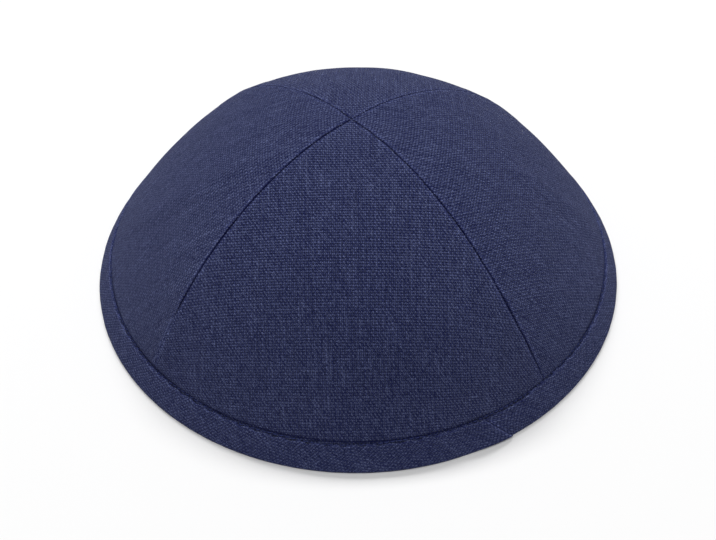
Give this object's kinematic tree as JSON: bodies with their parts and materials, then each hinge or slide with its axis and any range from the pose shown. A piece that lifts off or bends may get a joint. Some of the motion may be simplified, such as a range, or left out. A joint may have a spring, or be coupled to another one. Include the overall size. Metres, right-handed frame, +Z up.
{
  "type": "kippah skullcap",
  "caption": "Shallow domed cloth skullcap of triangular panels meeting at the top, with a folded cloth binding round its open rim.",
  "frame": {"origin": "middle of the rim, on the surface that the cap rests on", "axes": "+Z up through the crown, -Y towards the front panel, +X to the right as seen from the front"},
  "size_m": [0.1662, 0.1661, 0.0555],
  "materials": {
    "crown_linen": "matte plain-woven linen with slubs",
    "binding_linen": "matte plain-woven linen cut on the bias"
  },
  "bodies": {
    "root": {"panel_front": "crown_linen", "panel_right": "crown_linen", "panel_back": "crown_linen", "panel_left": "crown_linen", "rim_band": "binding_linen"}
  },
  "joints": []
}
